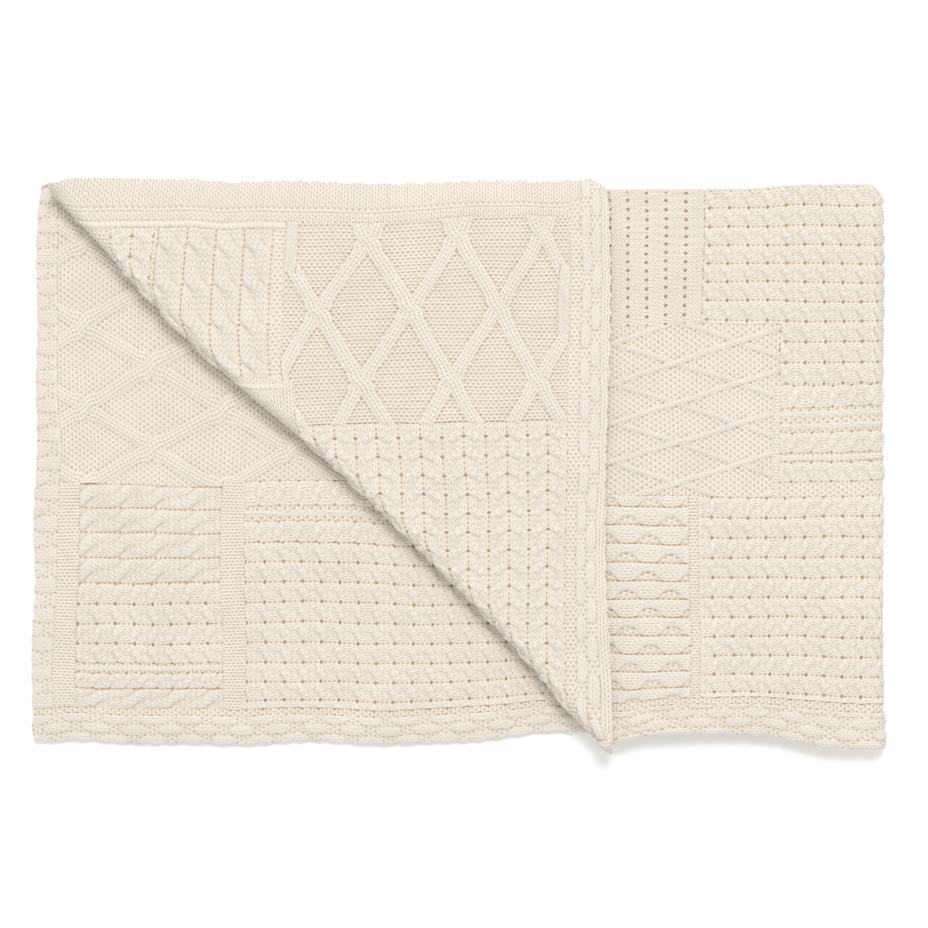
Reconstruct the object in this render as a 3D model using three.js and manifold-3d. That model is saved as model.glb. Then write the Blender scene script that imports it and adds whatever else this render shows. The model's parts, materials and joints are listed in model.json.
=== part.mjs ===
// Cable-knit throw blanket, folded in half twice and laid flat, with one corner of its upper half
// turned back. Millimetres, +Z up. The origin is on the surface that the throw lies on, under the
// middle of the folded stack.
//
// The cloth is folded over its back edge first, so that it is two sheets deep, and then over its
// right-hand edge, the spine, so that it is four sheets deep:
//
//   lower half   bottom sheet, lower middle sheet      lies still
//   upper half   upper middle sheet, top sheet         opens like a book's cover about the spine
//   corner       the upper half's front left corner    turned back over the top sheet, about a
//                                                      line at 45 degrees
//
// The two middle sheets are one layer of the cloth, which goes round the spine on the inside. The
// bottom and top sheets are the other layer, which goes round it on the outside. Every sheet ends
// in a border band of another stitch wherever it shows an edge of the cloth. Where the cloth bends
// there is a half-round fold, which is a piece of its own, because it is what changes shape.

import * as THREE from "three";
import { mergeVertices } from "three/addons/utils/BufferGeometryUtils.js";
import Module from "manifold-3d";

// Driving dimensions.
const FOLDED_LENGTH = 762; // along X, from the two ends of the cloth to the spine
const FOLDED_DEPTH = 508; // along Y, from the front edges to the back fold
const SHEET = 5.6; // thickness of one sheet of cable knit
const LAY = 0.4; // clearance between two sheets that lie on each other
const JOIN = 0.3; // clearance where two pieces of one sheet meet edge to edge
const BORDER = 34; // width of the border band
const CORNER_INSET = 12; // the corner's fold starts this far in from the cloth's end
const HEM_RADIUS = 7; // the rounded corners of the cloth
const ARC_STEPS = 12; // segments in a half-round fold

// Heights, all in whole sheets and lays.
const LAYER = SHEET + LAY;
const sheetBase = (n) => n * LAYER;
const PAIR = 2 * SHEET + LAY; // one half of the throw, two sheets deep
const STACK = 2 * PAIR + LAY; // both halves

// Plan positions.
const LEFT = -FOLDED_LENGTH / 2;
const RIGHT = FOLDED_LENGTH / 2;
const FRONT = -FOLDED_DEPTH / 2;
const BACK = FOLDED_DEPTH / 2;

// The three fold axes. A fold bulges past its axis by the thickness that goes round it.
const BACK_AXIS_Y = BACK - PAIR / 2;
const SPINE_X = RIGHT - STACK / 2;
const SPINE_Z = STACK / 2;
const CORNER_Z = STACK + LAY / 2;
const CORNER_BULGE = PAIR + LAY / 2;
// The corner's axis is the line x + y = CORNER_SUM, and its silhouette is CORNER_BULGE outside it.
// The corner is turned back until the cloth's end lies over the back fold, so each of its straight
// sides is as long as the folded throw is deep.
const CORNER_SUM = LEFT + CORNER_INSET + BACK + CORNER_BULGE * Math.SQRT2;
const CORNER_RIGHT = LEFT + CORNER_INSET + FOLDED_DEPTH;

const wasm = await Module();
wasm.setup();

const knit = new THREE.MeshStandardMaterial({ color: 0xeee5d8, roughness: 0.95, metalness: 0 });
const borderKnit = new THREE.MeshStandardMaterial({ color: 0xece2d3, roughness: 0.95, metalness: 0 });
const foldKnit = new THREE.MeshStandardMaterial({ color: 0xe9dfd0, roughness: 0.95, metalness: 0 });

const throwBlanket = new THREE.Group();

// A closed geometry, placed by a matrix, as a manifold-3d solid.
function solidFrom(geometry, matrix = new THREE.Matrix4()) {
  const bare = new THREE.BufferGeometry();
  const source = geometry.index ? geometry.toNonIndexed() : geometry;
  bare.setAttribute("position", source.getAttribute("position").clone());
  bare.applyMatrix4(matrix);
  const merged = mergeVertices(bare, 1e-3);
  return new wasm.Manifold(
    new wasm.Mesh({
      numProp: 3,
      vertProperties: merged.attributes.position.array,
      triVerts: new Uint32Array(merged.index.array),
    }),
  );
}

// A manifold-3d solid as a geometry.
function geometryFrom(solid) {
  const mesh = solid.getMesh();
  const geometry = new THREE.BufferGeometry();
  geometry.setAttribute("position", new THREE.BufferAttribute(mesh.vertProperties, 3));
  geometry.setIndex(new THREE.BufferAttribute(mesh.triVerts, 1));
  geometry.computeVertexNormals();
  return geometry;
}

function addMesh(name, geometry, material) {
  const mesh = new THREE.Mesh(geometry, material);
  mesh.name = name;
  throwBlanket.add(mesh);
  return mesh;
}

// A plan outline from its corners, in order. A corner written [x, y, radius] is rounded.
function outline(corners) {
  const shape = new THREE.Shape();
  corners.forEach(([x, y, radius = 0], i) => {
    const at = new THREE.Vector2(x, y);
    const before = new THREE.Vector2(...corners.at(i - 1).slice(0, 2)).sub(at).setLength(radius);
    const after = new THREE.Vector2(...corners[(i + 1) % corners.length].slice(0, 2)).sub(at);
    after.setLength(radius);
    const start = at.clone().add(before);
    if (i === 0) shape.moveTo(start.x, start.y);
    else shape.lineTo(start.x, start.y);
    if (radius > 0) shape.quadraticCurveTo(at.x, at.y, at.x + after.x, at.y + after.y);
  });
  shape.closePath();
  return shape;
}

// A piece of one sheet: its plan outline, one sheet thick, standing on the given height.
function addSheet(name, corners, base, material) {
  const geometry = new THREE.ExtrudeGeometry(outline(corners), {
    depth: SHEET,
    bevelEnabled: false,
    curveSegments: 5,
  });
  addMesh(name, geometry, material).position.z = base;
}

// The bend of one sheet round an axis, as a half ring one sheet thick. It is drawn bulging towards
// +X about the Z axis, with its length along Z, and then placed so that its bulge points along
// bulge and its length along length.
function halfRing(inner, runLength, bulge, length, start) {
  const ring = new THREE.Shape();
  ring.absarc(0, 0, inner + SHEET, -Math.PI / 2, Math.PI / 2, false);
  ring.absarc(0, 0, inner, Math.PI / 2, -Math.PI / 2, true);
  ring.closePath();
  const geometry = new THREE.ExtrudeGeometry(ring, {
    depth: runLength,
    bevelEnabled: false,
    curveSegments: ARC_STEPS,
  });
  const across = new THREE.Vector3().crossVectors(length, bulge);
  const placed = new THREE.Matrix4().makeBasis(bulge, across, length).setPosition(start);
  return { geometry, placed };
}

// Everything on the stack's side of the corner's fold line, or of the folded outline, as a prism.
function prism(corners) {
  const height = 4 * STACK;
  const geometry = new THREE.ExtrudeGeometry(outline(corners), { depth: height, bevelEnabled: false });
  return solidFrom(geometry, new THREE.Matrix4().makeTranslation(0, 0, -height / 2));
}

const AXIS_X = new THREE.Vector3(1, 0, 0);
const AXIS_Y = new THREE.Vector3(0, 1, 0);
const CORNER_ALONG = new THREE.Vector3(1, -1, 0).normalize();
const CORNER_OUT = new THREE.Vector3(-1, -1, 0).normalize();

// The point of the corner's fold line at a given y, moved clear of it towards the stack.
const onCornerLine = (y) => [CORNER_SUM + JOIN * Math.SQRT2 - y, y];

const sheetRight = SPINE_X - JOIN;
const sheetBack = BACK_AXIS_Y - JOIN;
const borderBack = FRONT + BORDER;
const borderRight = LEFT + BORDER;

// One sheet of the lower half: the sheet itself, the border along the cloth's end and the border
// along its front edge.
function addLowerSheet(name, base) {
  const sheet = [
    [borderRight + JOIN, borderBack + JOIN],
    [sheetRight, borderBack + JOIN],
    [sheetRight, sheetBack],
    [borderRight + JOIN, sheetBack],
  ];
  const endBorder = [
    [LEFT, borderBack + JOIN],
    [borderRight, borderBack + JOIN],
    [borderRight, sheetBack],
    [LEFT, sheetBack],
  ];
  const frontBorder = [
    [LEFT, FRONT, HEM_RADIUS],
    [sheetRight, FRONT],
    [sheetRight, borderBack],
    [LEFT, borderBack],
  ];
  addSheet(`${name}_sheet`, sheet, base, knit);
  addSheet(`${name}_end_border`, endBorder, base, borderKnit);
  addSheet(`${name}_front_border`, frontBorder, base, borderKnit);
}

// One sheet of the upper half, which ends at the corner's fold line.
function addUpperSheet(name, base) {
  const sheet = [
    onCornerLine(borderBack + JOIN),
    [sheetRight, borderBack + JOIN],
    [sheetRight, sheetBack],
    onCornerLine(sheetBack),
  ];
  const frontBorder = [
    onCornerLine(FRONT),
    [sheetRight, FRONT],
    [sheetRight, borderBack],
    onCornerLine(borderBack),
  ];
  addSheet(`${name}_sheet`, sheet, base, knit);
  addSheet(`${name}_front_border`, frontBorder, base, borderKnit);
}

// One sheet of the turned-back corner. What was the cloth's end is now its back side, and what was
// its front edge is now its right side.
function addCornerSheet(name, base) {
  const bandFront = BACK - BORDER;
  const bandLeft = CORNER_RIGHT - BORDER;
  const lineX = (y) => onCornerLine(y)[0];
  const lineY = (x) => CORNER_SUM + JOIN * Math.SQRT2 - x;
  const sheet = [
    [lineX(bandFront - JOIN), bandFront - JOIN],
    [bandLeft - JOIN, lineY(bandLeft - JOIN)],
    [bandLeft - JOIN, bandFront - JOIN],
  ];
  const endBorder = [
    [lineX(BACK), BACK],
    [lineX(bandFront), bandFront],
    [CORNER_RIGHT, bandFront],
    [CORNER_RIGHT, BACK, HEM_RADIUS],
  ];
  const frontBorder = [
    [bandLeft, bandFront - JOIN],
    [bandLeft, lineY(bandLeft)],
    [CORNER_RIGHT, lineY(CORNER_RIGHT)],
    [CORNER_RIGHT, bandFront - JOIN],
  ];
  addSheet(`${name}_sheet`, sheet, base, knit);
  addSheet(`${name}_end_border`, endBorder, base, borderKnit);
  addSheet(`${name}_front_border`, frontBorder, base, borderKnit);
}

// The back fold of one half: its lower sheet goes round into its upper sheet.
function backFold(base, left) {
  const start = new THREE.Vector3(left, BACK_AXIS_Y, base + PAIR / 2);
  return halfRing(LAY / 2, sheetRight - left, AXIS_Y, AXIS_X, start);
}

// A fold round the spine, for the layer of cloth that is inner millimetres from its axis.
function addSpineFold(name, inner) {
  const start = new THREE.Vector3(SPINE_X, BACK, SPINE_Z);
  const { geometry, placed } = halfRing(inner, FOLDED_DEPTH, AXIS_X, AXIS_Y.clone().negate(), start);
  addMesh(name, geometry, foldKnit).applyMatrix4(placed);
}

// A fold round the corner's axis, trimmed where it runs out over the stack's back and front edges.
function addCornerFold(name, inner) {
  const overrun = 2 * STACK;
  const fromY = BACK + overrun;
  const start = new THREE.Vector3(CORNER_SUM - fromY, fromY, CORNER_Z);
  const runLength = (FOLDED_DEPTH + 2 * overrun) * Math.SQRT2;
  const { geometry, placed } = halfRing(inner, runLength, CORNER_OUT, CORNER_ALONG, start);
  const within = prism([
    [2 * LEFT, FRONT],
    [2 * RIGHT, FRONT],
    [2 * RIGHT, BACK],
    [2 * LEFT, BACK],
  ]);
  addMesh(name, geometryFrom(solidFrom(geometry, placed).intersect(within)), foldKnit);
}

addLowerSheet("bottom", sheetBase(0));
addLowerSheet("lower_middle", sheetBase(1));
const lowerFold = backFold(sheetBase(0), LEFT);
addMesh("lower_back_fold", lowerFold.geometry, foldKnit).applyMatrix4(lowerFold.placed);
addSpineFold("spine_fold_outer", SPINE_Z - SHEET);
addSpineFold("spine_fold_inner", LAY / 2);

addUpperSheet("upper_middle", sheetBase(2));
addUpperSheet("top", sheetBase(3));
const upperFold = backFold(sheetBase(2), LEFT);
const stackSide = prism([
  onCornerLine(4 * FRONT),
  [4 * RIGHT, 4 * FRONT],
  [4 * RIGHT, 4 * BACK],
  onCornerLine(4 * BACK),
]);
const trimmedFold = solidFrom(upperFold.geometry, upperFold.placed).intersect(stackSide);
addMesh("upper_back_fold", geometryFrom(trimmedFold), foldKnit);

addCornerFold("corner_fold_inner", LAY / 2);
addCornerFold("corner_fold_outer", LAY / 2 + LAYER);
addCornerSheet("corner_under", STACK + LAY);
addCornerSheet("corner_face", STACK + LAY + LAYER);

export default throwBlanket;
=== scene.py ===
"""A cable-knit throw, folded in half twice, with one corner of its upper half turned back.

Each sheet of the cloth is a grid of points whose heights come from the knitting itself: cables,
lattices, honeycomb, pads, ribs, eyelets and purl grounds, laid out in blocks. Lengths are in
millimetres until a mesh is made.
"""

import json
import math

import bpy
import numpy as np
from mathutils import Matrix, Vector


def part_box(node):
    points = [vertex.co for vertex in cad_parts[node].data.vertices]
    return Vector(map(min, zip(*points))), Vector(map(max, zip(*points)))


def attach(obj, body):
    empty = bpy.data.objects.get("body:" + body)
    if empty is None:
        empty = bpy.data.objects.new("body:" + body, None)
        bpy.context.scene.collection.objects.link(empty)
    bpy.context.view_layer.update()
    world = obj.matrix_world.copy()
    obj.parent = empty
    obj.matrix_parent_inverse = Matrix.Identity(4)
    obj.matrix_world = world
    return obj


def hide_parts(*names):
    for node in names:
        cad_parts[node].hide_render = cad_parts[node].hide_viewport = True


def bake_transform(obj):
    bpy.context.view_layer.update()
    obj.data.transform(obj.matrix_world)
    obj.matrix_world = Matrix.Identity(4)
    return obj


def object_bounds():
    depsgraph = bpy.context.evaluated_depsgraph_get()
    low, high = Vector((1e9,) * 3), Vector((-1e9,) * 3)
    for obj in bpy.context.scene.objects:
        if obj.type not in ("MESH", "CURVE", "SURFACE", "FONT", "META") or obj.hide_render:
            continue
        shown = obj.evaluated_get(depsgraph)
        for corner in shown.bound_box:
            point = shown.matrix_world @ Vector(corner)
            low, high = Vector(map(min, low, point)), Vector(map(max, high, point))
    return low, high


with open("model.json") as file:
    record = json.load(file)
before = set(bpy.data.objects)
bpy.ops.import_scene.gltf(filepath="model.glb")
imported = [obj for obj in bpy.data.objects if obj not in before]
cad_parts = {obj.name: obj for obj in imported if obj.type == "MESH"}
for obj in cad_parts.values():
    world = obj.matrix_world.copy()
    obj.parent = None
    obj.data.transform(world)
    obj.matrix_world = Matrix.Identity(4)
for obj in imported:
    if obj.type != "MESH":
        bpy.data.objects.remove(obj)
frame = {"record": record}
cad_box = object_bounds()

# ---------------------------------------------------------------- sizes, from the frame

MM = 1000.0
ROOT2 = math.sqrt(2)


def span(node):
    low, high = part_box(node)
    return [c * MM for c in low], [c * MM for c in high]


LEFT, FRONT = cad_box[0][0] * MM, cad_box[0][1] * MM
RIGHT, BACK = cad_box[1][0] * MM, cad_box[1][1] * MM
SHEET = span("bottom_sheet")[1][2] - span("bottom_sheet")[0][2]
LAY = span("lower_middle_sheet")[0][2] - span("bottom_sheet")[1][2]
LAYER = SHEET + LAY
PAIR = 2 * SHEET + LAY
STACK = 2 * PAIR + LAY
SPINE_X = RIGHT - STACK / 2
SPINE_Z = STACK / 2
BACK_Y = BACK - PAIR / 2
CORNER_RIGHT = span("corner_face_front_border")[1][0]
JOINTS = {j["name"]: j for j in frame["record"]["behaviour"]["joints"]}
CORNER_AT = [c * MM for c in JOINTS["corner_fold"]["pos_m"]]
CORNER_SUM = CORNER_AT[0] + CORNER_AT[1]
CORNER_Z = CORNER_AT[2]
CORNER_R = CORNER_Z - LAYER * 2

FINE_STEPS = 848
FINE = (BACK - FRONT) / FINE_STEPS  # grid step where the knitting shows
COARSE = 2 * FINE  # where another sheet lies on it
COARSEST = 3 * FINE  # and underneath
RELIEF = 4.4  # from the deepest gap to the highest cable
CREST = 0.1  # the highest cable's clearance inside its sheet
PLAIN_DEPTH = SHEET - 0.25  # from a sheet's knitted side to its plain face, just inside it
WALE = 5.8  # a plain stitch's width
COURSE = 4.0  # and its length
CABLE_COURSE = 4.4  # a cable stitch's length
HEM = 4.0  # how near its edge the knitting starts to round down
HEM_ROUND = 4.3  # the half width of that rounding

# ---------------------------------------------------------------- smooth irregularity


def ease(t):
    t = np.clip(t, 0, 1)
    return t * t * (3 - 2 * t)


def drift(x, y, seed):
    """A smooth wander between -1 and 1, over about 150 to 400 mm."""
    return (
        np.sin(x / 41 + y / 67 + seed)
        + np.sin(x / 73 - y / 38 + 2.1 * seed)
        + np.sin(x / 29 + y / 97 + 3.7 * seed)
    ) / 3


def chance(i, j):
    """A repeatable number from 0 to 1 for each pair of whole numbers."""
    v = np.sin(i * 12.9898 + j * 78.233) * 43758.5453
    return v - np.floor(v)


# ---------------------------------------------------------------- stitches
#
# Each takes the distance along the wales and across them, and gives the height of the yarn.


def dome(d, half):
    """A round hump, 1 in its middle and 0 from half its width out."""
    return np.sqrt(np.clip(1 - (d / half) ** 2, 0, 1))


def hem_round(distance):
    """How much of the knitting's height is left at some distance from a real edge."""
    return dome(np.clip(HEM - distance, 0, HEM), HEM_ROUND)


def legs(along, across, wale, course, lean=0.75):
    """The two leaning legs of each knit stitch, in columns of V's: 0 between the yarns, 1 on them."""
    s = across / wale * 2
    leg = np.floor(s)
    x = s - leg - 0.5
    t = along / course + lean * (1 - 2 * np.mod(leg, 2)) * x
    row = np.floor(t)
    y = t - row - 0.5
    yarn = np.sqrt(np.clip(1 - (1.95 * x) ** 2 - (1.6 * y) ** 2, 0, 1))
    return yarn * (0.85 + 0.15 * chance(row, leg))


def bumps(along, across, wale, course):
    """The back of plain knitting: short bars, laid like bricks."""
    row = np.floor(along / course)
    s = across / wale + 0.5 * np.mod(row, 2)
    bar = np.floor(s)
    x = s - bar - 0.5
    y = along / course - row - 0.5 - 0.2 * np.cos(2 * np.pi * x)
    return np.sqrt(np.clip(1 - (1.7 * x) ** 2 - (2.0 * y) ** 2, 0, 1)) * (0.8 + 0.2 * chance(bar, row))


def plain(along, across, opt):
    return opt.get("low", 1.1) + 1.5 * legs(along, across, opt.get("wale", WALE), COURSE)


def purl(along, across, opt):
    return 0.8 + 1.25 * bumps(along, across, WALE * 0.9, COURSE * 0.9)


def garter(along, across, opt):
    """Rows of purl bars, every other one lower."""
    bar, step = 4.6, 3.1
    row = np.floor(along / step)
    return 0.5 + (2.1 - 1.3 * np.mod(row, 2)) * bumps(along, across, bar, step)


def rope(along, d, half, wales, low, high, course, lean=0.75):
    """A raised strand some wales wide, d from its middle."""
    across = np.clip(np.abs(d / half), 0, 1)
    body = np.sqrt(1 - across ** (2.0 if wales < 3 else 2.5))
    yarn = legs(along, d + half, 2 * half / wales, course, lean)
    return np.where(across < 1, low + (high - low) * body - 1.6 * (1 - yarn) * body**0.5, 0)


def cable(along, d, width, repeat, wales, turn, tight, spread, lift):
    """Two strands that change places every repeat, always with the same one in front."""
    out = np.zeros_like(along)
    for k in (0, 1):
        phase = np.pi * (along / repeat + k)
        swing = np.tanh(tight * np.cos(phase)) / math.tanh(tight)
        crossing = np.clip(1 - swing**2, 0, 1)
        over = np.sin(phase) * crossing**0.35
        half = width * (0.262 + np.where(over > 0, spread, 0.04) * crossing)
        centre = turn * swing * width * 0.235
        out = np.maximum(out, rope(along, d - centre, half, wales / 2, 0.9, 3.15 + lift * over, 5.2, 0.45))
    return out


def ladder_rungs(along, gutter, repeat, level):
    """The purl stitches between two cables: a dot between each and the next, a hole at each waist."""
    dot = np.hypot((np.mod(along / CABLE_COURSE, 1) - 0.5) * CABLE_COURSE, gutter)
    hole = np.hypot((np.mod(along / repeat, 1) - 0.5) * repeat, gutter * 0.7)
    return level - 0.9 * dome(dot, 1.2) - level * dome(hole, 1.35)


def cables(along, across, opt):
    """Cables side by side, with a ladder of purl stitches between them."""
    pitch = opt["pitch"]
    row = np.floor(across / pitch)
    d = across - (row + 0.5) * pitch
    repeat = opt["repeat"]
    first, second = opt["turns"]
    turn = np.where(np.mod(row, 2) == 0, first, second)
    width = pitch * 0.97
    look = opt.get("tight", 1.25), opt.get("spread", 0.155), opt.get("lift", 1.15)
    body = cable(along, d, width, repeat, opt["wales"], turn, *look)
    return np.maximum(body, ladder_rungs(along, np.abs(d) - pitch / 2, repeat, opt.get("ladder", 1.7)))


KNOT = 6.5  # half the length of a lattice's crossing


def swerve(s, slope, reach):
    """Where a rope of a lattice is, s from a knot: it turns sharply there, and is straight beyond."""
    straight = s * slope
    turned = np.sign(s) * reach * np.tanh(np.abs(s) / KNOT)
    return np.where(np.abs(straight) > np.abs(turned), straight, turned)


def trellis(along, across, opt):
    """Ropes that cross in diamonds. Crossings are every half repeat each way, in a chequer."""
    a, c = opt["half"]
    width, wales = opt["width"], opt["wales"]
    out = (garter if opt.get("ridged") else purl)(along, across, opt)
    twist = opt.get("twist", 0) * width
    from_knot = along - a * np.round(along / a)
    moved = along - from_knot + swerve(from_knot, c / a, twist) * a / c
    knot = np.exp(-((from_knot / KNOT) ** 2))
    slope = c / a + max(twist / KNOT - c / a, 0) * knot
    over = opt.get("over", 0)
    for sign, rise in ((1 - 2 * over, -0.9), (2 * over - 1, 0.9)):
        line = (across / c + sign * moved / a) / 2
        gap = (line - np.round(line)) * 2 * c
        d = gap / np.sqrt(1 + slope**2)
        high = opt.get("high", 3.3) + rise * knot * np.exp(-((gap / width) ** 2))
        t = along * math.hypot(a, c) / a
        out = np.maximum(out, rope(t, d, width / 2 * (1 + 0.12 * knot), wales, 0.9, high, COURSE, 0.6))
    return out


def honeycomb(along, across, opt):
    """Bands of plain stitches that arch over small pockets, every other band half a repeat on."""
    pitch, repeat = opt["pitch"], opt["repeat"]
    band = np.floor(across / pitch)
    x = (np.mod(along / repeat + 0.5 * np.mod(band, 2), 1) - 0.5) * repeat
    arch = 0.5 * np.exp(-((np.abs(x) / 8.5) ** 3))
    u = across / pitch - band
    v = (u - arch) / (1 - arch)
    body = np.sqrt(np.clip(1 - np.abs(2 * v - 1) ** 3.2, 0, 1))
    yarn = legs(along, v * pitch, pitch / 3, CABLE_COURSE, 0.5)
    top = 1.3 + (1.9 + 1.2 * arch) * body - 1.3 * (1 - yarn) * body**0.5
    dot = np.hypot((np.mod(along / CABLE_COURSE, 1) - 0.5) * CABLE_COURSE, (u - np.round(u)) * pitch)
    floor = 0.8 + 1.2 * bumps(along, across, 4.0, CABLE_COURSE) * (u > 0.12)
    return np.where(v > 0, top, floor) - 0.7 * dome(dot, 1.2)


def pads(along, across, opt):
    """Soft ovals of plain stitches on purl, each row half a step on from the last."""
    length, pitch = opt["cell"]
    wale = 4.4
    column = np.floor(across / pitch)
    u = along / length + 0.5 * np.mod(column, 2)
    x = u - np.floor(u) - 0.5
    y = across / pitch - column - 0.5
    oval = np.clip(1 - np.abs(opt.get("short", 2.9) * x) ** 2.4 - np.abs(2.05 * y) ** 2.4, 0, 1)
    pad = 1.1 + 1.2 * np.sqrt(oval) + 1.2 * legs(along, across, wale, COURSE)
    return np.where(oval > 0, pad, 1.1 + 1.1 * bumps(along, across, wale, COURSE))


def rib(along, across, opt):
    """One raised wale or ridge every pitch, on purl."""
    pitch, half = opt["pitch"], opt["width"] / 2
    d = across - (np.floor(across / pitch) + 0.5) * pitch
    strand = rope(along, d, half, opt.get("wales", 1), 1.0, opt.get("high", 2.9), COURSE)
    return np.maximum(strand, 0.5 + 1.4 * bumps(along, across, WALE, COURSE))


def welt(along, across, opt):
    """A rolled ridge across the wales, on plain stitches."""
    bead, half = 4.4, 2.9
    s = across / bead
    d = along - opt["at"] - 0.5 * np.sin(2 * np.pi * s)
    roll = 0.8 + 1.9 * dome(d, half) * (0.3 + 0.7 * dome(np.mod(s, 1) - 0.5, 0.55))
    return np.where(np.abs(d) < half, roll, 1.0 + 1.2 * legs(along, across, WALE, COURSE))


def eyelets(along, across, opt):
    """Plain stitches with rows of small holes."""
    step, row = 16.4, 8.5
    column = np.floor(along / step)
    x = along / step - column - 0.5
    y = np.mod(across / row + 0.12 * np.mod(column, 2), 1) - 0.5
    hole = dome(np.hypot(x * step, y * row), 1.6)
    slit = dome(x * step, 1.0) * 0.4
    return 1.3 + 1.4 * legs(along, across, 4.15, 4.1) - 2.6 * hole - slit


# Kinds of cable, lattice, rib and pad. turns is the way that every first and every second cable
# turns, and half is half of a lattice's repeat, along and across.
SMALL = {"pitch": 17.7, "repeat": 16.6, "wales": 4, "turns": (1, 1)}
HERRING = {"pitch": 17.9, "repeat": 16.7, "wales": 4, "turns": (1, -1)}
FEATHER = {"pitch": 18.9, "repeat": 16.9, "wales": 4, "turns": (1, -1), "tight": 1.0}
WIDE = {"repeat": 33.4, "wales": 6, "tight": 1.6, "spread": 0.09, "lift": 1.5, "ladder": 1.2}
MIRRORED = {"repeat": 17, "wales": 4, "turns": (-1, -1)}
SOFT_LATTICE = {"half": (62, 37), "width": 13.5, "wales": 2, "twist": 0.5, "high": 3.6}
THIN_LATTICE = {"half": (54, 18.0), "width": 5.6, "wales": 1.5}
BOLD_LATTICE = {
    "half": (65.4, 38.5), "width": 13, "wales": 2, "twist": 0.45, "high": 3.7, "over": 1, "ridged": 1,
}
BOLD_RIB = {"pitch": 11, "width": 11, "wales": 3, "high": 3.4}
LONG_PAD = {"cell": (33.0, 9.6)}
SHORT_PAD = {"cell": (34.0, 13.4), "short": 2.3}
FAR = 2000.0

# ---------------------------------------------------------------- where each stitch is
#
# A block is (left, right, front, back, stitch, options, where its stitches are counted from).
# Later blocks lie over earlier ones.

LOWER_BLOCKS = [
    (-FAR, FAR, -FAR, FAR, cables, SMALL, (0, -73)),
    (-362, -30, -21, FAR, trellis, SOFT_LATTICE, (-275.8, 87.3)),
    (-212, -191, -223, -15, plain, {"low": 1.5}, (-212, 0)),
    (-343, -212, -107, -21, cables, WIDE | {"pitch": 21.5, "turns": (-1, -1)}, (-321, -107)),
    (-343, -212, -179, -107, cables, HERRING, (0, -179)),
    (-343, -212, -188, -179, rib, {"pitch": 9, "width": 5}, (0, -188)),
    (-343, -212, -203, -188, cables, MIRRORED | {"pitch": 15, "repeat": 14}, (0, -203)),
    (-343, -212, -223, -203, cables, WIDE | {"pitch": 20, "turns": (-1, -1)}, (-310, -223)),
    (-191, -30, -39, -15, cables, MIRRORED | {"pitch": 24}, (0, -39)),
    (-191, -30, -53, -39, rib, {"pitch": 14, "width": 6, "wales": 2}, (0, -53)),
    (-191, -30, -73, -53, cables, MIRRORED | {"pitch": 20}, (0, -73)),
    (-362, -343, -FAR, -21, plain, {"low": 1.5}, (-362, 0)),
    (-FAR, -362, -FAR, FAR, pads, SHORT_PAD, (-386, -223)),
    (-FAR, FAR, -FAR, -223, pads, LONG_PAD, (-343, -247)),
    (-FAR, FAR, -229, -222, purl, {}, (0, -229)),
]

UPPER_BLOCKS = [
    (-FAR, FAR, -FAR, FAR, cables, SMALL | {"pitch": 18.2}, (0, 71)),
    (-FAR, 220, 123, FAR, eyelets, {}, (147, 0)),
    (-FAR, 281, -30, 123, trellis, THIN_LATTICE, (142, 108)),
    (214, 286, 70, 123, trellis, THIN_LATTICE, (142, 108)),
    (281, 286, -30, 70, plain, {"low": 1.4}, (281, 0)),
    (286, FAR, 50, 70, cables, MIRRORED | {"pitch": 20}, (0, 50)),
    (286, FAR, 28, 50, rib, {"pitch": 11, "width": 6, "wales": 2}, (0, 28)),
    (286, FAR, 9, 28, cables, MIRRORED | {"pitch": 19}, (0, 9)),
    (286, FAR, 1, 9, rib, {"pitch": 8, "width": 5}, (0, 1)),
    (286, FAR, -17, 1, cables, {"pitch": 18, "repeat": 17, "wales": 4, "turns": (1, 1)}, (0, -17)),
    (286, FAR, -30, -17, purl, {}, (0, -30)),
    (-FAR, 206, -216, -30, honeycomb, {"pitch": 16.4, "repeat": 34.2}, (157.1, -40)),
    (206, 214, -216, -30, plain, {"low": 1.0}, (206, -30)),
    (214, FAR, -216, -30, cables, HERRING, (0, -209.6)),
    (-FAR, FAR, -FAR, -216, pads, LONG_PAD, (0, -247)),
    (-FAR, FAR, -223, -215, purl, {}, (0, -223)),
]

# On the turned corner the wales run from front to back: the first four numbers are still left,
# right, front and back.
CORNER_BLOCKS = [
    (-FAR, FAR, -FAR, FAR, cables, FEATHER, (-30.7, 0)),
    (-FAR, 104, 38, 236, trellis, BOLD_LATTICE, (-80.5, 206)),
    (-150, -139, 176, 236, rib, BOLD_RIB, (-150, 0)),
    (90, 101, 118, 178, rib, BOLD_RIB, (90, 0)),
    (-FAR, -150, 70, 217, purl, {}, (-160, 0)),
    (-FAR, -182, -FAR, 70, plain, {}, (-182, 0)),
    (-182, -140, 22, 80, plain, {}, (-182, 0)),
    (-FAR, -150, 66, 86, welt, {"at": 76}, (0, 0)),
    (-264, -160, 84, 215, cables, WIDE | {"pitch": 25.6, "repeat": 34.2, "turns": (1, 1)}, (-264, 216)),
    (-303, -267, 84, 215, cables, FEATHER | {"pitch": 17.8, "repeat": 17.8}, (-284.8, 216)),
    (-FAR, FAR, 221, FAR, plain, {"low": 0.9, "wale": 5.2}, (0, 0)),
    (-FAR, FAR, 229, 234, purl, {}, (0, 229)),
    (-FAR, -151, 214, 222, welt, {"at": 218}, (0, 0)),
    (101, FAR, -FAR, 236, purl, {}, (101, 0)),
    (112, FAR, -FAR, FAR, pads, {"cell": (33.0, 9.5)}, (112, 0)),
    (131, FAR, -FAR, FAR, plain, {"low": 1.4}, (131, 0)),
]


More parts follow.
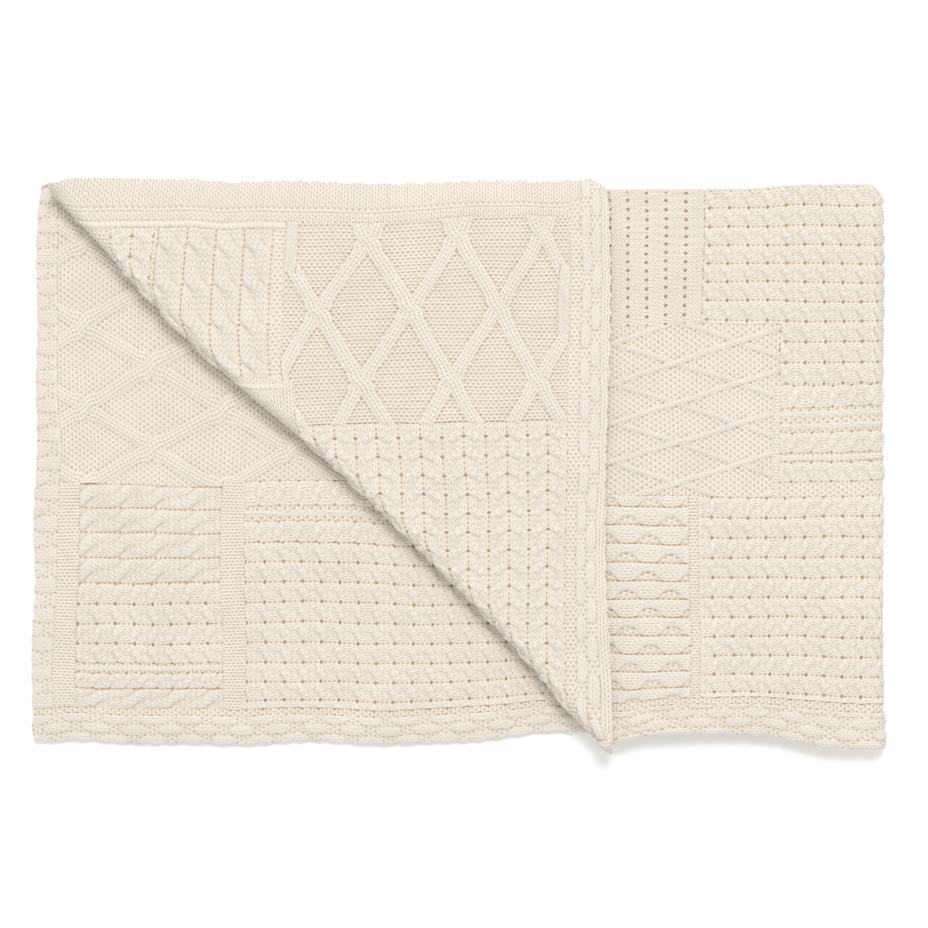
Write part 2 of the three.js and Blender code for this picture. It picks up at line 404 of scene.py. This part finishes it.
def knit(blocks, x, y, upright=False):
    """The height of the knitting at each point."""
    wx = x + 2.6 * drift(x, y, 1.3) + 0.7 * drift(3 * y, 3 * x, 0.4)
    wy = y + 2.6 * drift(y, x, 4.1) + 0.7 * drift(3 * x, 3 * y, 2.6)
    h = np.zeros_like(x)
    pick = np.full(x.shape, -1)
    for n, (left, right, front, back, *_) in enumerate(blocks):
        pick[(wx >= left) & (wx < right) & (wy >= front) & (wy < back)] = n
    for n, (left, right, front, back, stitch, opt, origin) in enumerate(blocks):
        at = pick == n
        if not at.any():
            continue
        bx, by = wx[at], wy[at]
        u, v = bx - origin[0], by - origin[1]
        if upright:
            u, v = v, u
        # The stitches sink a little along the seams between blocks.
        edge = np.minimum(np.minimum(bx - left, right - bx), np.minimum(by - front, back - by))
        h[at] = stitch(u, v, opt) * (0.8 + 0.2 * ease(edge / 1.5))
    return np.clip(h, 0, RELIEF)


# ---------------------------------------------------------------- how the cloth settles

FLAP, STACKED = "flap", "stacked"


def round_off(x, y, corner, radius):
    """How far to move points to round a corner of the stack, given with the ways that it points."""
    corner_x, corner_y, way_x, way_y = corner
    cx = np.clip(way_x * (x - corner_x) + radius, 0, None)
    cy = np.clip(way_y * (y - corner_y) + radius, 0, None)
    reach = np.hypot(cx, cy)
    pull = np.clip(reach - radius, 0, None) / np.maximum(reach, 1e-6)
    return -way_x * cx * pull, -way_y * cy * pull


def bell(t):
    return np.exp(-(t**2))


def scallop(s):
    """The small bumps of the edge stitches along a hem."""
    return 0.4 * np.sin(2 * np.pi * s / 5.3) + 0.6 * np.sin(s / 2.9 + 2 * np.sin(s / 23))


def lean_and_wander(x, y, kind, upper):
    """The lean of the left end, the wander of each side, and the front edge's rise in its middle."""
    lean = -4.0 if upper else 5.0
    dx = lean * (y - FRONT) / (BACK - FRONT) * bell((x - LEFT) / 90)
    side = 2.5 * np.abs(y / BACK) ** 3 + 2.5 * np.sin(y / 55 - 0.6) - 7
    dx = dx + side * bell((x - CORNER_RIGHT) / 60)
    dx = dx + 0.8 * drift(y, x * 0.3, 2.0)
    dy = 0.8 * drift(x, y * 0.3, 5.0)
    rise = 8 * bell((x - 95) / 75) * bell((y - FRONT) / 70)
    return dx, dy + rise * (0.4 if kind == FLAP else 1)


def flap_hems(x, y, dx, dy, off_line, set_back):
    """The turned corner's hems, at its right and its back, and how thin the cloth gets at them."""
    at_right, at_back = CORNER_RIGHT - x, BACK - y
    dip = 4.6 * ease((x + 245) / 45) * ease((130 - x) / 60)
    dy = dy + off_line * ease((y - 120) / 110) * (0.9 * np.sin(x / 31 + 0.6) - dip)
    dx = dx - set_back * bell(at_right / 6)
    dy = dy - set_back * bell(at_back / 6)
    dx = dx + scallop(y) * bell(at_right / 3) * off_line
    dy = dy + scallop(x) * bell(at_back / 3) * off_line
    # The fold's end past the turned hem is drawn in.
    past = np.clip(-at_right, 0, None)
    thin = 0.4 * bell(np.minimum(at_right, at_back) / 11) * off_line
    return dx - 0.85 * past, dy + 0.85 * past, thin


def stack_hems(x, y, dx, dy, upper, line, off_line, set_back):
    """The stack's hems, at its left and its front, and how thin the cloth gets at them."""
    at_left, at_front = x - LEFT, y - FRONT
    off_spine = ease((SPINE_X - 6 - x) / 90)
    dy = dy - ease((y - 120) / 110) * (7 * ease((at_left - 40) / 60) - 3.4 * ease((x - 250) / 60))
    free = ease((x - CORNER_RIGHT + 5) / 45) if upper else 1
    bow = (set_back if upper else set_back + 5) * bell((x - 230) / 80)
    wave = np.sin(x / 17 + 3.1) + 1.1 * np.sin(x / 31 + 6.2)
    dy = dy + bell(at_front / 45) * free * off_spine * (bow + wave + 0.5 * set_back)
    if not upper:
        end = 0.3 * set_back - 3.4 - 0.9 * ease((-80 - y) / 80) + 0.9 * np.sin(y / 19 + 1)
        dx = dx + bell(at_left / 40) * end
    dx = dx + bell((x - RIGHT) / 30) * (3 * bell(at_front / 45) + 0.6 * np.sin(2 * np.pi * y / 17.9))
    near_line = off_line if upper else 1
    dy = dy - scallop(x) * bell(at_front / 3) * near_line
    dx = dx - scallop(y) * bell(at_left / 3)
    if upper:
        # The stack's upper cloth runs on under the turned corner's tip.
        short = np.clip(CORNER_SUM - y - CORNER_RIGHT + 2, 0, 16)
        dx = dx - short * bell(line / 25)
        dy = dy - 4 * bell((x - CORNER_RIGHT) / 30) * bell(at_front / 30)
    edge = at_front if upper else np.minimum(at_front, at_left)
    return dx, dy, 0.35 * bell(edge / 9) * off_spine * near_line


def bow_corner_fold(x, y, dx, dy, line, drop):
    """The corner's fold bows towards the front left, most of all near its tip."""
    near = bell(line / 120)
    bow = (13 * bell((y - 105) / 95) + 4.5 * ease((y - 60) / 150)) * ease((BACK + 6 - y) / 30)
    inner = ease((CORNER_RIGHT - x) / 30)
    dx = dx - near * (bow / ROOT2 + 7.5 * inner * bell((y - FRONT) / 85))
    dy = dy - near * (bow / ROOT2 + drop * bell((y - FRONT) / 60))
    return dx, dy - 8 * bell((x - LEFT - 14) / 15) * ease((y - BACK + 50) / 50)


def settle(p, kind, set_back=0.0):
    """Moves points from the flat-folded layout to where soft cloth lies."""
    x, y, z = p.T
    upper = kind == FLAP or z.mean() > PAIR
    line = (x + y - CORNER_SUM) / ROOT2
    off_line = ease((line - 15) / 60)
    dx, dy = lean_and_wander(x, y, kind, upper)
    if kind == FLAP:
        base, drop = 4 * LAYER, 11
        dx, dy, thin = flap_hems(x, y, dx, dy, off_line, set_back)
    else:
        base, drop = (2 * LAYER if upper else 0), 2
        dx, dy, thin = stack_hems(x, y, dx, dy, upper, line, off_line, set_back)
    z = z - (z - base) * thin
    if upper:
        dx, dy = bow_corner_fold(x, y, dx, dy, line, drop)
    left = LEFT + 13 if upper else LEFT
    corners = [((left, BACK, -1, 1), 20), ((LEFT, FRONT, -1, -1), 10)]
    corners.append(((CORNER_RIGHT, BACK, 1, 1), 20) if kind == FLAP else ((RIGHT, BACK, 1, 1), 24))
    for corner, radius in corners:
        move_x, move_y = round_off(x, y, corner, radius)
        dx, dy = dx + move_x, dy + move_y
    # The stack lies a little higher in some places than in others.
    swell = 1 + 0.05 * drift(x * 1.3, y * 1.3, 0.7) - 0.02
    return np.stack([x + dx, y + dy, z * swell], axis=1)


def painted_gap_shade(h, shape):
    """Painted shade from how proud each point is of the knitting round it, from 0, darkest, in a gap to 1
    on the yarn.
    """
    high = h.reshape(shape)
    near = high
    for axis in (0, 1):
        near = sum(np.roll(near, k, axis) for k in range(-3, 4)) / 7
    wide = near
    for axis in (0, 1):
        wide = sum(np.roll(wide, 4 * k, axis) for k in range(-2, 3)) / 5
    return np.clip(0.66 + 0.5 * (high - near) + 0.12 * (near - wide), 0, 1).ravel()


# ---------------------------------------------------------------- meshes


def edge_loop(faces):
    """The rim of a patch of faces, as vertex numbers in the faces' own direction."""
    ends = [np.stack([f.T, np.roll(f, -1, axis=1).T], axis=-1) for f in faces]
    pairs = np.concatenate([e.reshape(-1, 2) for e in ends])
    n = pairs.max() + 1
    key = pairs[:, 0] * n + pairs[:, 1]
    rim = pairs[~np.isin(key, pairs[:, 1] * n + pairs[:, 0])]
    after = dict(rim.tolist())
    start = int(rim[0, 0])
    loop, v = [start], after[start]
    while v != start:
        loop.append(v)
        v = after[v]
    return np.array(loop)


def make_mesh(name, points, groups, uvs, painted_shade):
    """groups is a list of face arrays; uvs holds one corner-coordinate array for each."""
    mesh = bpy.data.meshes.new(name)
    mesh.vertices.add(len(points))
    mesh.vertices.foreach_set("co", (points / MM).astype(np.float32).ravel())
    sizes = np.concatenate([np.full(len(f), f.shape[1]) for f in groups])
    corners = np.concatenate([f.ravel() for f in groups])
    mesh.loops.add(len(corners))
    mesh.loops.foreach_set("vertex_index", corners.astype(np.int32))
    mesh.polygons.add(len(sizes))
    mesh.polygons.foreach_set("loop_start", (np.cumsum(sizes) - sizes).astype(np.int32))
    mesh.update(calc_edges=True)
    mesh.polygons.foreach_set("use_smooth", np.ones(len(sizes), bool))
    uv = mesh.uv_layers.new(name="OFBake")
    uv.data.foreach_set("uv", np.concatenate([u.reshape(-1, 2) for u in uvs]).astype(np.float32).ravel())
    # Each point's painted shade, darker in the knitting's gaps, goes into a point attribute for the
    # material.
    depth = mesh.attributes.new("painted_shade", "FLOAT", "POINT")
    depth.data.foreach_set("value", painted_shade.astype(np.float32))
    mesh.validate()
    obj = bpy.data.objects.new(name, mesh)
    bpy.context.scene.collection.objects.link(obj)
    return obj


def mark_sharp(mesh, loop):
    """The face meets its rim in a crease, so that a neighbour's face runs on from it."""
    ends = np.empty(2 * len(mesh.edges), np.int32)
    mesh.edges.foreach_get("vertices", ends)
    ends = np.sort(ends.reshape(-1, 2).astype(np.int64), axis=1)
    rim = np.sort(np.stack([loop, np.roll(loop, -1)], axis=1), axis=1)
    n = ends.max() + 1
    crease = np.isin(ends[:, 0] * n + ends[:, 1], rim[:, 0] * n + rim[:, 1])
    sharp = mesh.attributes.new("sharp_edge", "BOOLEAN", "EDGE")
    sharp.data.foreach_set("value", crease)


# In the texture square the knitted face is uppermost, then the rim's strips, then the plain face.
FACE_FROM, FACE_SHARE = 0.1, 0.89
RIM_FROM, RIM_STRIP = 0.03, 0.02
BACK_PATCH = (0.03, 0.02)

# The rim's rings: how far through the sheet each is, and how proud of the straight way through.
RIM_RINGS = ((0.33, 0.45), (0.7, 0.4))
# The painted shade given to the rim, a little darker than the knitted face, and to the plain face behind
# it, darker still.
RIM_SHADE = 0.6
BACK_SHADE = 0.5


def close_shell(name, top, back, faces, behind, painted_shade):
    """A closed cloth piece from its knitted face, the plain face behind it and a rounded rim."""
    faces = [f for f in faces if len(f)]
    loop = edge_loop(faces)
    count, rim = len(top), len(loop)
    tangent = top[np.roll(loop, -1)] - top[np.roll(loop, 1)]
    through = back[loop] - top[loop]
    out = np.cross(tangent, through)
    out /= np.maximum(np.linalg.norm(out, axis=1, keepdims=True), 1e-9)
    rings = [top[loop] + through * share + out * proud for share, proud in RIM_RINGS]
    (plain_side,), (ring, *closing) = compact([back], [loop[None, :], *(f for f in behind if len(f))])
    points = np.concatenate([top, *rings, plain_side])
    # Painted shade for every point: the knitted face's own, then the rim's and the plain face's set
    # values.
    shade = np.concatenate([painted_shade, np.full(2 * rim, RIM_SHADE), np.full(len(plain_side), BACK_SHADE)])
    behind_from = count + 2 * rim
    closing = [f[:, ::-1] + behind_from for f in closing]
    rows = [loop, count + np.arange(rim), count + rim + np.arange(rim), behind_from + ring[0]]

    low, spread = top.min(0), top.max(0) - top.min(0)
    a, b = np.argsort(spread)[::-1][:2]
    flat_uv = (points[:, [a, b]] - low[[a, b]]) / spread[a]
    face_uv = flat_uv * (1, FACE_SHARE) + (0, FACE_FROM)
    back_uv = flat_uv * BACK_PATCH
    groups, uvs = list(faces), [face_uv[f] for f in faces]
    start = np.arange(rim) / rim
    end = start + 1 / rim
    for k, (upper, lower) in enumerate(zip(rows, rows[1:])):
        near = np.full(rim, RIM_FROM + RIM_STRIP * k)
        far = near + RIM_STRIP
        groups.append(np.stack([np.roll(upper, -1), upper, lower, np.roll(lower, -1)], axis=1))
        corners = [(end, near), (start, near), (start, far), (end, far)]
        uvs.append(np.stack([np.stack(corner, axis=1) for corner in corners], axis=1))
    groups += closing
    uvs += [back_uv[f] for f in closing]
    obj = make_mesh(name, points, groups, uvs, shade)
    mark_sharp(obj.data, loop)
    return obj


# ---------------------------------------------------------------- grids of points


def ladder(first, last, step, origin):
    """Points from first to last, at whole steps from origin in between."""
    k = np.arange(math.ceil((first - origin) / step + 0.45), math.floor((last - origin) / step - 0.45) + 1)
    return np.concatenate([[first], origin + step * k, [last]])


def grid_faces(nx, ny, keep=None):
    """Faces of a grid. keep is two arrays: which cells keep their half nearer the grid's first
    corner, and which keep the other half."""
    i, j = np.meshgrid(np.arange(nx - 1), np.arange(ny - 1), indexing="ij")
    a = i * ny + j
    b, c, d = a + ny, a + ny + 1, a + 1
    if keep is None:
        return [np.stack([a, b, c, d], axis=-1).reshape(-1, 4)]
    low, high = keep
    both = low & high
    quads = np.stack([a, b, c, d], axis=-1)[both]
    tris = [np.stack([a, b, d], axis=-1)[low & ~both], np.stack([b, c, d], axis=-1)[high & ~both]]
    return [quads, np.concatenate(tris)]


BLOCK = 6  # points each way that are joined on the plain side of a sheet


def thin_faces(faces, shape, keep):
    """The same faces, with each block of inner points joined at its middle."""
    nx, ny = shape
    full = np.ones((nx - 1, ny - 1), bool) if keep is None else keep[0] & keep[1]
    inner = np.zeros(shape, bool)
    inner[1:-1, 1:-1] = full[1:, 1:] & full[:-1, 1:] & full[1:, :-1] & full[:-1, :-1]
    mx, my = nx // BLOCK, ny // BLOCK
    whole = inner[: mx * BLOCK, : my * BLOCK].reshape(mx, BLOCK, my, BLOCK).all(axis=(1, 3))
    i, j = (np.arange(n * BLOCK) // BLOCK * BLOCK + BLOCK // 2 for n in (mx, my))
    middle = i[:, None] * ny + j[None, :]
    number = np.arange(nx * ny).reshape(shape)
    at = whole.repeat(BLOCK, 0).repeat(BLOCK, 1)
    number[: mx * BLOCK, : my * BLOCK][at] = middle[at]
    number = number.ravel()
    out = []
    for f in faces:
        g = number[f]
        same = g == np.roll(g, -1, axis=1)
        out.append(g[~same.any(axis=1)])
        if f.shape[1] == 4:
            # A face with just two corners joined becomes a triangle.
            one = same.sum(axis=1) == 1
            out.append(g[one][~same[one]].reshape(-1, 3))
    return out


def compact(arrays, faces):
    """Drops the points that no face uses, and numbers the faces' points again."""
    used = np.unique(np.concatenate([f.ravel() for f in faces]))
    number = np.zeros(len(arrays[0]), int)
    number[used] = np.arange(len(used))
    return [a[used] for a in arrays], [number[f] for f in faces]


def hem_edge(x, y, hems):
    """How far a point is from the nearest real edge of the cloth."""
    gaps = {"left": x - LEFT, "front": y - FRONT, "right": CORNER_RIGHT - x, "back": BACK - y}
    return np.minimum.reduce([gaps[h] for h in hems])


# Two layers at a time, from the bottom: the body they ride on, and how their cloth is knitted.
HALVES = (
    {"body": "lower_half", "kind": STACKED, "blocks": LOWER_BLOCKS, "hems": ("left", "front")},
    {"body": "upper_half", "kind": STACKED, "blocks": UPPER_BLOCKS, "hems": ("front",)},
    {"body": "turned_corner", "kind": FLAP, "blocks": CORNER_BLOCKS, "hems": ("right", "back")},
)


def sheet_piece(name, nodes, layer, x_range, y_range, step, line_side=0, set_back=0.0):
    """One flat sheet, or a part of one, in a layer counted from 0 at the bottom. The knitted face is
    down in even layers and up in odd ones. line_side keeps one side of the corner's fold line: +1 for
    x + y above it, -1 for below and 0 for both."""
    half = HALVES[layer // 2]
    side = 1 if layer % 2 else -1
    face_z = layer * LAYER + (SHEET if side > 0 else 0)
    xs = ladder(*x_range, step, CORNER_SUM - FRONT)
    ys = ladder(*y_range, step, FRONT)
    x, y = (g.ravel() for g in np.meshgrid(xs, ys, indexing="ij"))
    keep = None
    if line_side:
        mx, my = np.meshgrid((xs[1:] + xs[:-1]) / 2, (ys[1:] + ys[:-1]) / 2, indexing="ij")
        mid = (mx + my - CORNER_SUM) * line_side
        nudge = step * 0.3 * line_side
        keep = (mid - nudge > 0, mid + nudge > 0)
    h = knit(half["blocks"], x, y, upright=half["kind"] == FLAP)
    # Painted shade, darker in the knitting's gaps, taken before the hems round down.
    shade = painted_gap_shade(h, (len(xs), len(ys)))
    h = h * hem_round(hem_edge(x, y, half["hems"]))
    faces = grid_faces(len(xs), len(ys), keep)
    behind = thin_faces(faces, (len(xs), len(ys)), keep)
    (x, y, h, shade), both = compact([x, y, h, shade], faces + behind)
    if side < 0:
        both = [f[:, ::-1] for f in both]
    faces, behind = both[: len(faces)], both[len(faces) :]
    top = np.stack([x, y, face_z - side * (CREST + RELIEF - h)], axis=1)
    back = np.stack([x, y, np.full_like(x, face_z - side * PLAIN_DEPTH)], axis=1)
    top, back = (settle(points, half["kind"], set_back) for points in (top, back))
    obj = close_shell(name, top, back, faces, behind, shade)
    finish_piece(obj, nodes, body=half["body"])


def roll_piece(name, rows, columns, place, relief_of, kind):
    """A bend of the cloth on a grid of rows by columns. place(row, column, depth) gives the point
    that lies depth below the knitted crest."""
    r, c = (g.ravel() for g in np.meshgrid(rows, columns, indexing="ij"))
    h = relief_of(r, c)
    top = place(r, c, CREST + RELIEF - h)
    back = place(r, c, np.full_like(r, PLAIN_DEPTH))
    faces = grid_faces(len(rows), len(columns))
    f = faces[0][len(faces[0]) // 2]
    normal = np.cross(top[f[1]] - top[f[0]], top[f[2]] - top[f[0]])
    if np.dot(normal, top[f[0]] - back[f[0]]) < 0:
        faces = [f[:, ::-1] for f in faces]
    top, back = settle(top, kind), settle(back, kind)
    # The bend's painted shade is darker in the knitting's gaps.
    obj = close_shell(name, top, back, faces, faces, painted_gap_shade(h, (len(rows), len(columns))))
    return obj


# ---------------------------------------------------------------- material

# The ramp turns the painted shade into colour: a darker tan in the knitting's gaps, cream on the yarn.
RAMP = (  # colours from the deepest gap to the proudest yarn
    (0.0, (0.42, 0.31, 0.20, 1)),
    (0.3, (0.64, 0.54, 0.42, 1)),
    (0.6, (0.785, 0.73, 0.65, 1)),
    (1.0, (0.85, 0.81, 0.755, 1)),
)


def yarn_material():
    """Soft cream cotton with painted shade that darkens its gaps, slow changes of tone and a fine ply."""
    mat = bpy.data.materials.new("cream_knit_yarn")
    mat.use_nodes = True
    nodes, links = mat.node_tree.nodes, mat.node_tree.links
    shader = nodes["Principled BSDF"]
    shader.inputs["Roughness"].default_value = 0.92
    shader.inputs["Specular IOR Level"].default_value = 0.25
    shader.inputs["Sheen Weight"].default_value = 0.08
    shader.inputs["Sheen Roughness"].default_value = 0.55
    shader.inputs["Sheen Tint"].default_value = (1.0, 0.97, 0.92, 1)
    # The painted shade attribute picks each point's colour from the ramp.
    painted_shade = nodes.new("ShaderNodeAttribute")
    painted_shade.attribute_name = "painted_shade"
    ramp = nodes.new("ShaderNodeValToRGB")
    first, *between, last = RAMP
    ramp.color_ramp.elements[0].color = first[1]
    ramp.color_ramp.elements[1].color = last[1]
    for position, colour in between:
        ramp.color_ramp.elements.new(position).color = colour
    links.new(painted_shade.outputs["Fac"], ramp.inputs["Fac"])
    place = nodes.new("ShaderNodeTexCoord")
    cloud = nodes.new("ShaderNodeTexNoise")
    cloud.inputs["Scale"].default_value = 35
    cloud.inputs["Detail"].default_value = 4
    links.new(place.outputs["Object"], cloud.inputs["Vector"])
    tone = nodes.new("ShaderNodeMapRange")
    tone.inputs["To Min"].default_value = 0.93
    tone.inputs["To Max"].default_value = 1.05
    links.new(cloud.outputs["Fac"], tone.inputs["Value"])
    tinted = nodes.new("ShaderNodeVectorMath")
    tinted.operation = "SCALE"
    links.new(ramp.outputs["Color"], tinted.inputs[0])
    links.new(tone.outputs["Result"], tinted.inputs["Scale"])
    links.new(tinted.outputs["Vector"], shader.inputs["Base Color"])
    ply = nodes.new("ShaderNodeTexNoise")
    ply.inputs["Scale"].default_value = 900
    ply.inputs["Detail"].default_value = 3
    links.new(place.outputs["Object"], ply.inputs["Vector"])
    bump = nodes.new("ShaderNodeBump")
    bump.inputs["Strength"].default_value = 0.5
    bump.inputs["Distance"].default_value = 0.0006
    links.new(ply.outputs["Fac"], bump.inputs["Height"])
    links.new(bump.outputs["Normal"], shader.inputs["Normal"])
    return mat


YARN = yarn_material()


def finish_piece(obj, nodes, body=None):
    obj.data.materials.append(YARN)
    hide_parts(*nodes)
    if body:
        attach(obj, body)
    else:
        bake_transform(obj)


# ---------------------------------------------------------------- the sheets

STACK_X = (LEFT, SPINE_X)
STACK_Y = (FRONT, BACK_Y)
LINE_LEFT = CORNER_SUM - BACK_Y
UPPER_X = (LINE_LEFT, SPINE_X)
SPLIT_X = CORNER_SUM - FRONT - 30 * FINE  # the top sheet shows to the right of this
FLAP_X = (CORNER_SUM - BACK, CORNER_RIGHT)
FLAP_Y = (FRONT, BACK)

sheet_piece(
    "bottom_cloth", ["bottom_sheet", "bottom_end_border", "bottom_front_border"],
    0, STACK_X, STACK_Y, COARSEST, set_back=12.0,
)
sheet_piece(
    "lower_middle_cloth_showing", ["lower_middle_end_border", "lower_middle_front_border"],
    1, STACK_X, STACK_Y, FINE, line_side=-1, set_back=7.0,
)
sheet_piece(
    "lower_middle_cloth_covered", ["lower_middle_sheet"],
    1, STACK_X, STACK_Y, COARSE, line_side=1, set_back=7.0,
)
sheet_piece(
    "upper_middle_cloth", ["upper_middle_sheet", "upper_middle_front_border"],
    2, UPPER_X, STACK_Y, COARSE, line_side=1, set_back=11.0,
)
sheet_piece(
    "top_cloth_showing", ["top_front_border"],
    3, (SPLIT_X, SPINE_X), STACK_Y, FINE, line_side=1, set_back=9.0,
)
sheet_piece(
    "top_cloth_covered", ["top_sheet"],
    3, (LINE_LEFT, SPLIT_X), STACK_Y, COARSE, line_side=1, set_back=9.0,
)
sheet_piece(
    "corner_under_cloth", ["corner_under_sheet", "corner_under_end_border", "corner_under_front_border"],
    4, FLAP_X, FLAP_Y, COARSE, line_side=1, set_back=1.5,
)
sheet_piece(
    "corner_face_cloth", ["corner_face_sheet", "corner_face_end_border", "corner_face_front_border"],
    5, FLAP_X, FLAP_Y, FINE, line_side=1,
)

# ---------------------------------------------------------------- the folds

BACK_ROWS, SPINE_ROWS, CORNER_ROWS, INNER_ROWS = 24, 47, 47, 13  # points round each bend
PAIR_R = PAIR / 2
X_COLUMNS = ladder(LEFT, SPINE_X, FINE, CORNER_SUM - FRONT)
Y_COLUMNS = ladder(FRONT, BACK_Y, FINE, FRONT)


def back_fold(name, middle_z, columns, blocks):
    """Half round, from the knitted face above (turn 0) to the one below (turn pi)."""

    def place(turn, x, depth):
        rho = PAIR_R - depth
        return np.stack([x, BACK_Y + rho * np.sin(turn), middle_z + rho * np.cos(turn)], axis=1)

    def relief_of(turn, x):
        return knit(blocks, x, BACK_Y + PAIR_R * turn)

    # The cloth's own length round the bend is that of its middle, two thirds of the way out.
    return roll_piece(name, np.linspace(0, math.pi, BACK_ROWS), columns, place, relief_of, STACKED)


lower_back = back_fold("lower_back_fold_cloth", PAIR_R, X_COLUMNS, LOWER_BLOCKS)
finish_piece(lower_back, ["lower_back_fold"], "lower_half")
upper_columns = X_COLUMNS[X_COLUMNS > LINE_LEFT - 0.1]
upper_back = back_fold("upper_back_fold_cloth", PAIR_R + PAIR + LAY, upper_columns, UPPER_BLOCKS)
finish_piece(upper_back, ["upper_back_fold"], "upper_half")

# The spine: the double cloth's outline, from the outer sheet's front edge round its back fold to
# the inner sheet's front edge, is turned half round the spine's axis.
RUN = BACK_Y - FRONT
BEND = math.pi * PAIR_R
SPINE_R = SPINE_Z - PAIR_R


def spine_place(turn, run, depth):
    rho = PAIR_R - depth
    bend = np.clip((run - RUN) / PAIR_R, 0, math.pi)
    round_back = np.where(run > RUN + BEND, BACK_Y - (run - RUN - BEND), BACK_Y + rho * np.sin(bend))
    y = np.where(run < RUN, FRONT + run, round_back)
    r = SPINE_R + rho * np.cos(bend)
    return np.stack([SPINE_X + r * np.cos(turn), y, SPINE_Z + r * np.sin(turn)], axis=1)


def spine_relief(turn, run):
    y = np.where(run < RUN + BEND / 2, FRONT + run, BACK_Y + BEND - (run - RUN))
    h = knit(UPPER_BLOCKS, SPINE_X + (math.pi / 2 - turn) * STACK / 2, y)
    return h * hem_round(y - FRONT)


spine_turns = np.linspace(math.pi / 2, -math.pi / 2, SPINE_ROWS)
bend_runs = RUN + np.linspace(0, BEND, BACK_ROWS)[1:-1]
spine_runs = np.concatenate([Y_COLUMNS - FRONT, bend_runs, RUN + BEND + (Y_COLUMNS - FRONT)])
spine = roll_piece(
    "spine_fold_cloth", spine_turns, spine_runs, spine_place, spine_relief, STACKED,
)
finish_piece(
    spine, ["spine_fold_outer", "spine_fold_inner"],
)

# The corner's folds lie along the 45 degree line.
LINE = CORNER_SUM / ROOT2
LINE_LENGTH = (BACK - FRONT) * ROOT2
line_shares = np.linspace(0, 1, FINE_STEPS + 1)


def on_line(across, share):
    """x and y of the point across from the fold line, share of the way from its back to its front."""
    tau = across - BACK * ROOT2 + share * LINE_LENGTH
    return (across + tau) / ROOT2, (across - tau) / ROOT2


def corner_fold(name, radius, face_out, rows, shares):
    """A bend along the fold line, with its knitted face outside or inside."""

    def place(turn, share, depth):
        rho = radius - depth if face_out else radius + depth
        x, y = on_line(LINE - rho * np.sin(turn), share)
        return np.stack([x, y, CORNER_Z + rho * np.cos(turn)], axis=1)

    def relief_of(turn, share):
        across = LINE - radius * turn
        tau = LINE - radius * np.sin(turn) - BACK * ROOT2 + share * LINE_LENGTH
        h = knit(CORNER_BLOCKS, (across + tau) / ROOT2, (across - tau) / ROOT2, upright=True)
        return h * hem_round(np.minimum(share, 1 - share) * (BACK - FRONT))

    turns = np.linspace(0, math.pi, rows)
    return roll_piece(name, turns, shares, place, relief_of, FLAP)


outer_fold = corner_fold("corner_fold_face_cloth", CORNER_R, True, CORNER_ROWS, line_shares)
finish_piece(
    outer_fold, ["corner_fold_outer"],
)
inner_shares = line_shares[::2]
inner_fold = corner_fold("corner_fold_under_cloth", LAY / 2, False, INNER_ROWS, inner_shares)
finish_piece(
    inner_fold, ["corner_fold_inner"],
)

# ---------------------------------------------------------------- floor, light and camera


def floor():
    bpy.ops.mesh.primitive_plane_add(size=8, location=(0, 0, -0.0005))
    plane = bpy.context.object
    plane.name = "floor"
    mat = bpy.data.materials.new("floor_white")
    mat.use_nodes = True
    shader = mat.node_tree.nodes["Principled BSDF"]
    shader.inputs["Base Color"].default_value = (0.93, 0.93, 0.93, 1)
    shader.inputs["Roughness"].default_value = 0.9
    shader.inputs["Specular IOR Level"].default_value = 0.1
    shader.inputs["Emission Color"].default_value = (1, 1, 1, 1)
    shader.inputs["Emission Strength"].default_value = 0.12
    plane.data.materials.append(mat)


def area_light(name, location, size, power):
    """A round light that faces the middle of the floor."""
    data = bpy.data.lights.new(name, "AREA")
    data.shape = "DISK"
    data.size = size
    data.energy = power
    light = bpy.data.objects.new(name, data)
    light.location = location
    light.rotation_euler = light.location.to_track_quat("Z", "Y").to_euler()
    bpy.context.scene.collection.objects.link(light)


floor()
area_light("key", (0.5, 3.1, 5.0), size=2.4, power=172)
area_light("fill", (-0.3, -2.2, 3.0), size=2.5, power=13)
world = bpy.data.worlds.new("studio")
world.use_nodes = True
world.node_tree.nodes["Background"].inputs["Color"].default_value = (1.0, 0.985, 0.96, 1)
world.node_tree.nodes["Background"].inputs["Strength"].default_value = 0.66
bpy.context.scene.world = world
bpy.context.scene.view_settings.view_transform = "Standard"

CAMERA_AT = (0.004, -0.001, 3.0)
CLOTH_TOP = 0.03
VIEW_WIDTH = 0.825  # how much the picture shows across the top of the cloth
SENSOR = 36
camera_data = bpy.data.cameras.new("camera")
camera_data.sensor_width = SENSOR
camera_data.lens = SENSOR * (CAMERA_AT[2] - CLOTH_TOP) / VIEW_WIDTH
camera = bpy.data.objects.new("camera", camera_data)
camera.location = CAMERA_AT
bpy.context.scene.collection.objects.link(camera)
bpy.context.scene.camera = camera
